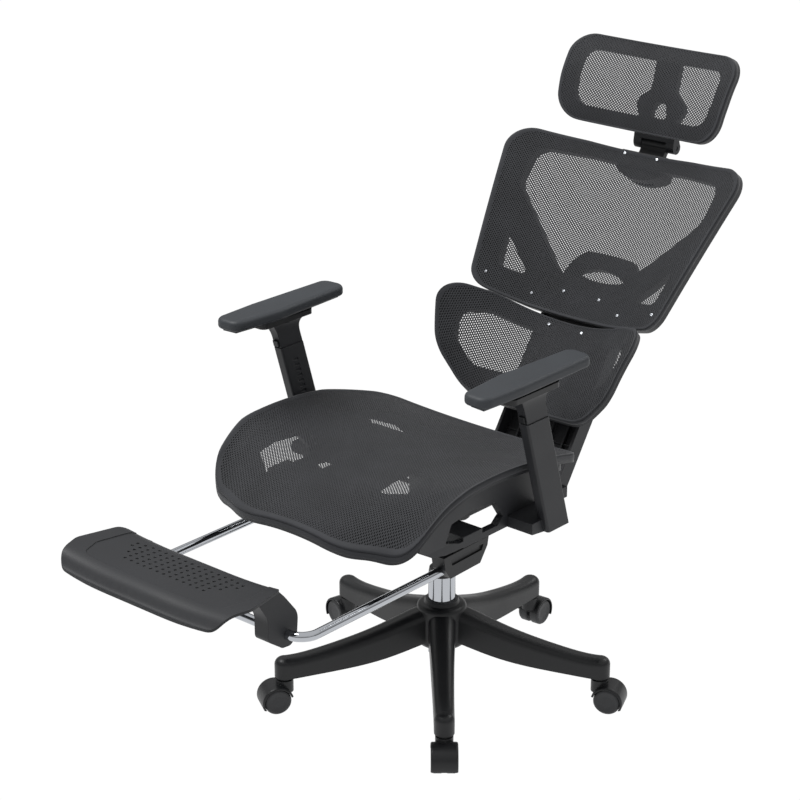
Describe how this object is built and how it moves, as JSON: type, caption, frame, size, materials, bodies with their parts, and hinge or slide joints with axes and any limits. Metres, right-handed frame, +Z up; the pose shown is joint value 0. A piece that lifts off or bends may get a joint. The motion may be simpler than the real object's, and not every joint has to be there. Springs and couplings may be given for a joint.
{
  "type": "reclining office chair",
  "caption": "High-backed mesh office chair on a five-star caster base, with a reclining back, adjustable arms and headrest, and a pull-out footrest.",
  "frame": {"origin": "on the floor under the axis of the gas column", "axes": "+Z up, -Y the way the sitter faces, +X on the sitter's left"},
  "size_m": [0.6711, 1.4242, 1.0969],
  "materials": {
    "glass_filled_nylon": "moulded glass-filled nylon, fine satin grain",
    "charcoal_plastic": "moulded polypropylene, satin",
    "black_plastic": "moulded nylon, satin black",
    "woven_mesh": "open woven polyester mesh under tension",
    "polyurethane_pad": "self-skinning polyurethane foam",
    "wheel_polyurethane": "cast polyurethane tread on a nylon wheel",
    "chromed_steel": "chrome plate",
    "bright_steel": "ground steel",
    "black_painted_steel": "black powder coat"
  },
  "bodies": {
    "base": {"star_base": "glass_filled_nylon", "column_tube": "chromed_steel", "column_bushing": "black_plastic"},
    "lift_rod": {"piston_rod": "bright_steel"},
    "seat_unit": {"gas_cylinder": "black_painted_steel", "mechanism_housing": "black_painted_steel", "recline_pin": "bright_steel", "seat_frame": "charcoal_plastic", "seat_mesh": "woven_mesh", "rail_housing_left": "black_plastic", "rail_housing_right": "black_plastic", "arm_upright_left": "charcoal_plastic", "arm_upright_right": "charcoal_plastic"},
    "lift_lever": {"lift_lever": "black_plastic"},
    "tilt_lever": {"tilt_lever": "black_plastic"},
    "tension_knob": {"tension_knob": "black_plastic"},
    "backrest": {"back_spine": "charcoal_plastic"},
    "back_upper": {"back_carriage": "black_plastic", "back_frame": "charcoal_plastic", "back_mesh": "woven_mesh", "lumbar_bracket": "black_plastic", "lumbar_pin": "bright_steel", "headrest_holder": "black_plastic"},
    "lumbar": {"lumbar_frame": "charcoal_plastic", "lumbar_mesh": "woven_mesh"},
    "headrest_stem": {"headrest_stem": "black_plastic"},
    "headrest": {"headrest_bracket": "charcoal_plastic", "headrest_frame": "charcoal_plastic", "headrest_mesh": "woven_mesh"},
    "footrest_frame": {"footrest_tube": "chromed_steel"},
    "footrest_tray": {"footrest_tray": "charcoal_plastic"},
    "arm_sleeve_left": {"arm_sleeve_left": "charcoal_plastic"},
    "arm_trigger_left": {"arm_trigger_left": "black_plastic"},
    "arm_plate_left": {"arm_plate_left": "black_plastic"},
    "arm_pad_left": {"arm_pad_left": "polyurethane_pad"},
    "arm_sleeve_right": {"arm_sleeve_right": "charcoal_plastic"},
    "arm_trigger_right": {"arm_trigger_right": "black_plastic"},
    "arm_plate_right": {"arm_plate_right": "black_plastic"},
    "arm_pad_right": {"arm_pad_right": "polyurethane_pad"},
    "caster_fork_1": {"caster_fork_1": "glass_filled_nylon"},
    "caster_wheels_1": {"caster_wheels_1": "wheel_polyurethane"},
    "caster_fork_2": {"caster_fork_2": "glass_filled_nylon"},
    "caster_wheels_2": {"caster_wheels_2": "wheel_polyurethane"},
    "caster_fork_3": {"caster_fork_3": "glass_filled_nylon"},
    "caster_wheels_3": {"caster_wheels_3": "wheel_polyurethane"},
    "caster_fork_4": {"caster_fork_4": "glass_filled_nylon"},
    "caster_wheels_4": {"caster_wheels_4": "wheel_polyurethane"},
    "caster_fork_5": {"caster_fork_5": "glass_filled_nylon"},
    "caster_wheels_5": {"caster_wheels_5": "wheel_polyurethane"}
  },
  "joints": [
    {"name": "seat_swivel", "type": "hinge", "parent": "base", "child": "lift_rod", "pos_m": [0, 0, 0], "axis": [0, 0, 1], "continuous": true},
    {"name": "seat_lift", "type": "slide", "parent": "lift_rod", "child": "seat_unit", "axis": [0, 0, 1], "range_m": [0, 0.09]},
    {"name": "lift_lever_turn", "type": "hinge", "parent": "seat_unit", "child": "lift_lever", "pos_m": [0, -0.02, 0.398], "axis": [1, 0, 0], "range_deg": [0, 12], "stiffness_Nm_per_rad": 0.35},
    {"name": "tilt_lever_turn", "type": "hinge", "parent": "seat_unit", "child": "tilt_lever", "pos_m": [0, 0.03, 0.398], "axis": [1, 0, 0], "range_deg": [-25, 0]},
    {"name": "tension_knob_turn", "type": "hinge", "parent": "seat_unit", "child": "tension_knob", "pos_m": [0, 0.052, 0.34], "axis": [0, 0, 1], "range_deg": [-360, 360]},
    {"name": "recline", "type": "hinge", "parent": "seat_unit", "child": "backrest", "pos_m": [0, 0.06, 0.385], "axis": [1, 0, 0], "range_deg": [0, 28]},
    {"name": "back_height", "type": "slide", "parent": "backrest", "child": "back_upper", "axis": [0, 0.5592, 0.829], "range_m": [0, 0.05]},
    {"name": "lumbar_rock", "type": "hinge", "parent": "back_upper", "child": "lumbar", "pos_m": [0, 0.33, 0.545], "axis": [1, 0, 0], "range_deg": [-5, 5], "stiffness_Nm_per_rad": 30},
    {"name": "headrest_height", "type": "slide", "parent": "back_upper", "child": "headrest_stem", "axis": [0, 0.5592, 0.829], "range_m": [0, 0.03]},
    {"name": "headrest_tilt", "type": "hinge", "parent": "headrest_stem", "child": "headrest", "pos_m": [0, 0.62834, 0.90394], "axis": [1, 0, 0], "range_deg": [-20, 20]},
    {"name": "footrest_pull", "type": "slide", "parent": "seat_unit", "child": "footrest_frame", "axis": [0, 1, 0], "range_m": [0, 0.18]},
    {"name": "footrest_flip", "type": "hinge", "parent": "footrest_frame", "child": "footrest_tray", "pos_m": [0, -0.57, 0.376], "axis": [1, 0, 0], "range_deg": [0, 180]},
    {"name": "arm_height_left", "type": "slide", "parent": "seat_unit", "child": "arm_sleeve_left", "axis": [0, -0.2874, 0.9578], "range_m": [0, 0.07]},
    {"name": "arm_trigger_left_press", "type": "slide", "parent": "arm_sleeve_left", "child": "arm_trigger_left", "axis": [0, 1, 0], "range_m": [0, 0.003], "stiffness_N_per_m": 300},
    {"name": "arm_pad_left_slide", "type": "slide", "parent": "arm_sleeve_left", "child": "arm_plate_left", "axis": [0, 1, 0], "range_m": [-0.02, 0.02]},
    {"name": "arm_pad_left_turn", "type": "hinge", "parent": "arm_plate_left", "child": "arm_pad_left", "pos_m": [0.28, -0.1191, 0.7], "axis": [0, 0, 1], "range_deg": [-15, 15]},
    {"name": "arm_height_right", "type": "slide", "parent": "seat_unit", "child": "arm_sleeve_right", "axis": [0, -0.2874, 0.9578], "range_m": [0, 0.07]},
    {"name": "arm_trigger_right_press", "type": "slide", "parent": "arm_sleeve_right", "child": "arm_trigger_right", "axis": [0, 1, 0], "range_m": [0, 0.003], "stiffness_N_per_m": 300},
    {"name": "arm_pad_right_slide", "type": "slide", "parent": "arm_sleeve_right", "child": "arm_plate_right", "axis": [0, 1, 0], "range_m": [-0.02, 0.02]},
    {"name": "arm_pad_right_turn", "type": "hinge", "parent": "arm_plate_right", "child": "arm_pad_right", "pos_m": [-0.28, -0.1191, 0.7], "axis": [0, 0, 1], "range_deg": [-15, 15]},
    {"name": "caster_1_swivel", "type": "hinge", "parent": "base", "child": "caster_fork_1", "pos_m": [0.19733, -0.22597, 0.08], "axis": [0, 0, 1], "continuous": true},
    {"name": "caster_1_roll", "type": "hinge", "parent": "caster_fork_1", "child": "caster_wheels_1", "pos_m": [0.20917, -0.23952, 0.025], "axis": [0.7532, 0.6578, 0], "continuous": true},
    {"name": "caster_2_swivel", "type": "hinge", "parent": "base", "child": "caster_fork_2", "pos_m": [0.27588, 0.11785, 0.08], "axis": [0, 0, 1], "continuous": true},
    {"name": "caster_2_roll", "type": "hinge", "parent": "caster_fork_2", "child": "caster_wheels_2", "pos_m": [0.29244, 0.12492, 0.025], "axis": [-0.3928, 0.9196, 0], "continuous": true},
    {"name": "caster_3_swivel", "type": "hinge", "parent": "base", "child": "caster_fork_3", "pos_m": [-0.02683, 0.2988, 0.08], "axis": [0, 0, 1], "continuous": true},
    {"name": "caster_3_roll", "type": "hinge", "parent": "caster_fork_3", "child": "caster_wheels_3", "pos_m": [-0.02843, 0.31673, 0.025], "axis": [-0.996, -0.0894, 0], "continuous": true},
    {"name": "caster_4_swivel", "type": "hinge", "parent": "base", "child": "caster_fork_4", "pos_m": [-0.29246, 0.06682, 0.08], "axis": [0, 0, 1], "continuous": true},
    {"name": "caster_4_roll", "type": "hinge", "parent": "caster_fork_4", "child": "caster_wheels_4", "pos_m": [-0.31001, 0.07083, 0.025], "axis": [-0.2227, -0.9749, 0], "continuous": true},
    {"name": "caster_5_swivel", "type": "hinge", "parent": "base", "child": "caster_fork_5", "pos_m": [-0.15393, -0.2575, 0.08], "axis": [0, 0, 1], "continuous": true},
    {"name": "caster_5_roll", "type": "hinge", "parent": "caster_fork_5", "child": "caster_wheels_5", "pos_m": [-0.16316, -0.27295, 0.025], "axis": [0.8583, -0.5131, 0], "continuous": true}
  ]
}
